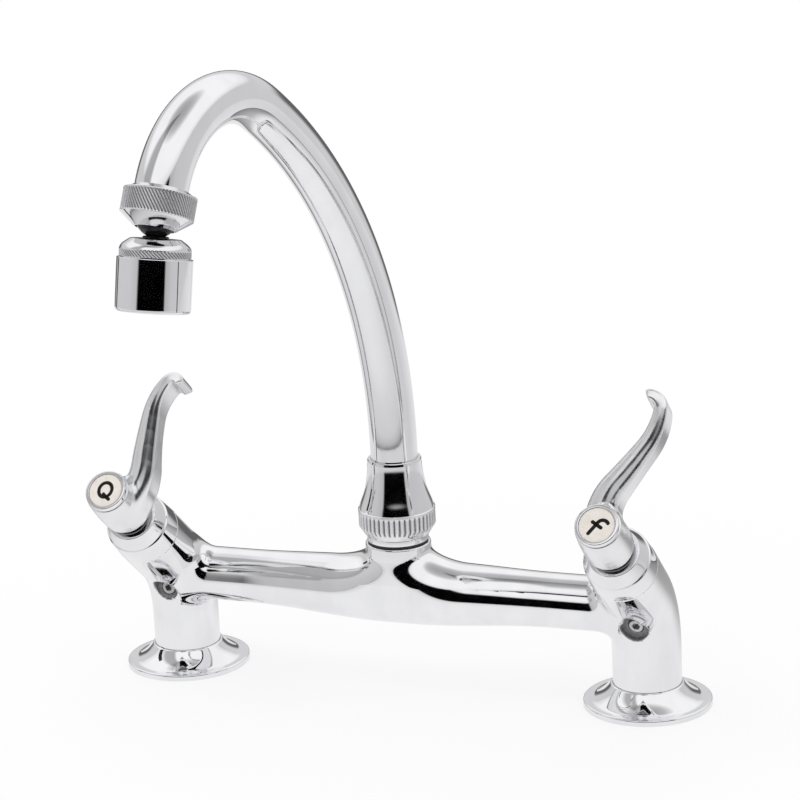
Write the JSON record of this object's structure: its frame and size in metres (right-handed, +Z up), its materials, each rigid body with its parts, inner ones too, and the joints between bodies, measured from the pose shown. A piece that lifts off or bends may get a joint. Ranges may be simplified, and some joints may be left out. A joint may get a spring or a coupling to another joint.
{
  "type": "two handle kitchen faucet",
  "caption": "Deck-mounted bridge mixer tap for a kitchen sink: high swivel gooseneck spout with ball-jointed aerator and lever handles on angled valves.",
  "frame": {"origin": "midway between the two inlets, at counter level", "axes": "+X along the bridge towards the cold valve, +Z up, -Y towards the user and the sink"},
  "size_m": [0.255, 0.1973, 0.2706],
  "materials": {
    "polished_chrome": "polished",
    "dark_chrome": "polished, darker",
    "brass": "machined",
    "steel": "machined",
    "black_rubber": "matte",
    "ceramic": "lapped ceramic",
    "slip_plastic": "moulded",
    "index_white": "gloss"
  },
  "bodies": {
    "bridge": {"bridge_body": "polished_chrome", "left_base_flange": "polished_chrome", "left_base_gasket": "black_rubber", "left_waterway_plug": "steel", "left_seat_seal": "black_rubber", "left_fixed_disc": "ceramic", "left_cartridge_body": "brass", "left_cartridge_seal": "black_rubber", "left_skirt": "polished_chrome", "right_base_flange": "polished_chrome", "right_base_gasket": "black_rubber", "right_waterway_plug": "steel", "right_seat_seal": "black_rubber", "right_fixed_disc": "ceramic", "right_cartridge_body": "brass", "right_cartridge_seal": "black_rubber", "right_skirt": "polished_chrome", "hub_nipple": "polished_chrome", "spout_nut": "polished_chrome", "spout_slip_ring": "slip_plastic"},
    "spout": {"spout_tube": "polished_chrome", "spout_tailpiece": "brass", "spout_o_rings": "black_rubber", "spout_retaining_ring": "brass", "outlet_adapter": "polished_chrome", "outlet_nut": "polished_chrome"},
    "outlet_seat": {"ball_seat_washer": "black_rubber"},
    "aerator": {"swivel_ball": "dark_chrome", "aerator_collar": "polished_chrome", "aerator_shell": "polished_chrome", "aerator_washer": "black_rubber", "aerator_screen": "steel", "aerator_insert": "slip_plastic"},
    "left_handle": {"left_moving_disc": "ceramic", "left_spindle": "brass", "left_spindle_o_ring": "black_rubber", "left_lever": "polished_chrome", "left_handle_screw": "steel", "left_index_cap": "polished_chrome", "left_index_disc": "index_white"},
    "right_handle": {"right_moving_disc": "ceramic", "right_spindle": "brass", "right_spindle_o_ring": "black_rubber", "right_lever": "polished_chrome", "right_handle_screw": "steel", "right_index_cap": "polished_chrome", "right_index_disc": "index_white"}
  },
  "joints": [
    {"name": "spout_swivel", "type": "hinge", "parent": "bridge", "child": "spout", "pos_m": [0, -0.0071, 0.08], "axis": [0, 0, 1], "continuous": true},
    {"name": "outlet_spin", "type": "hinge", "parent": "spout", "child": "outlet_seat", "pos_m": [-0.0268, -0.15173, 0.22714], "axis": [-0.0732, -0.3952, -0.9157], "continuous": true},
    {"name": "outlet_tilt", "type": "hinge", "parent": "outlet_seat", "child": "aerator", "pos_m": [-0.0268, -0.15173, 0.22714], "axis": [-0.9723, 0.2325, -0.0226], "range_deg": [-3.5, 27]},
    {"name": "left_handle_turn", "type": "hinge", "parent": "bridge", "child": "left_handle", "pos_m": [-0.1015, 0, 0.041], "axis": [0, -0.7615, 0.6481], "range_deg": [0, 90]},
    {"name": "right_handle_turn", "type": "hinge", "parent": "bridge", "child": "right_handle", "pos_m": [0.1015, 0, 0.041], "axis": [0, 0.7615, -0.6481], "range_deg": [0, 90]}
  ]
}
